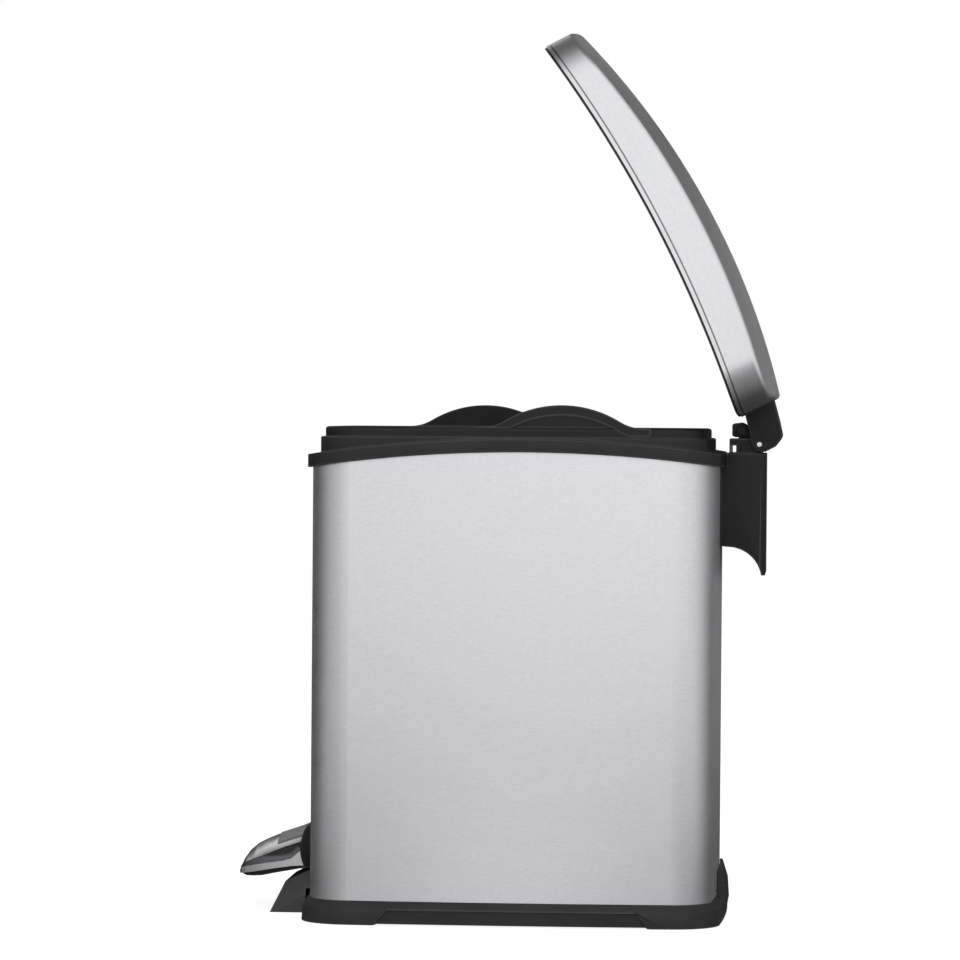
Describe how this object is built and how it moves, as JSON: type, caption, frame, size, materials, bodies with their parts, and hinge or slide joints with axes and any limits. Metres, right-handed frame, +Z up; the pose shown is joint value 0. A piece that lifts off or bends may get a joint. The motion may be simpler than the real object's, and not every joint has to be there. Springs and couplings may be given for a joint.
{
  "type": "pedal bin",
  "caption": "Rectangular step-on waste bin with a brushed steel body, a rear-hinged domed lid standing open, side-by-side lift-out buckets and a front foot pedal.",
  "frame": {"origin": "on the floor, under the middle of the whole bin's box with the lid open", "axes": "+Z up, -Y towards the pedal at the front, +Y towards the lid hinge, X across the width"},
  "size_m": [0.3522, 0.4908, 0.7973],
  "materials": {
    "brushed_steel": "brushed, satin, fine horizontal grain",
    "pin_steel": "bright turned steel",
    "black_plastic": "moulded polypropylene, fine satin texture",
    "bucket_plastic": "moulded polypropylene, satin",
    "pedal_insert": "ribbed grip insert, dull grey",
    "zinc_steel": "zinc-plated pressed steel",
    "rubber": "matt black rubber",
    "black_steel": "black-coated steel"
  },
  "bodies": {
    "body": {"outer_shell": "brushed_steel", "top_ring": "black_plastic", "base_tray": "black_plastic", "rubber_feet": "rubber", "front_guard": "black_plastic", "slot_frame": "black_plastic", "bucket_right": "bucket_plastic", "bucket_left": "bucket_plastic", "rear_housing": "black_plastic", "housing_screws": "zinc_steel", "hinge_ears": "black_plastic", "hinge_pin": "pin_steel", "rod_guides": "black_plastic", "damper_cylinder": "zinc_steel", "damper_bracket": "zinc_steel", "pivot_bracket": "zinc_steel", "pivot_pin": "pin_steel"},
    "lid": {"lid_skin": "brushed_steel", "lid_liner": "black_plastic", "lid_bumpers": "rubber", "lid_bracket": "black_plastic", "bracket_rivets": "pin_steel", "crank_pin": "black_steel"},
    "rod": {"push_rod": "black_steel", "rod_pin": "pin_steel", "damper_piston": "pin_steel", "damper_arm": "zinc_steel"},
    "pedal": {"pedal_lever": "zinc_steel", "pedal_cover": "brushed_steel", "pedal_underside": "black_plastic", "pedal_pad": "pedal_insert"}
  },
  "joints": [
    {"name": "lid_hinge", "type": "hinge", "parent": "body", "child": "lid", "pos_m": [0, 0.226, 0.4276], "axis": [1, 0, 0], "range_deg": [0, 62.6]},
    {"name": "rod_slide", "type": "slide", "parent": "body", "child": "rod", "axis": [0, 0, 1], "range_m": [-0.02173, 0]},
    {"name": "pedal_pivot", "type": "hinge", "parent": "body", "child": "pedal", "pos_m": [0, -0.0002, 0.062], "axis": [1, 0, 0], "range_deg": [-6.9, 0]}
  ],
  "couplings": [
    {"joint": "rod_slide", "follows": "lid_hinge", "m_per_rad": -0.019872},
    {"joint": "pedal_pivot", "follows": "lid_hinge", "ratio": -0.10986}
  ]
}
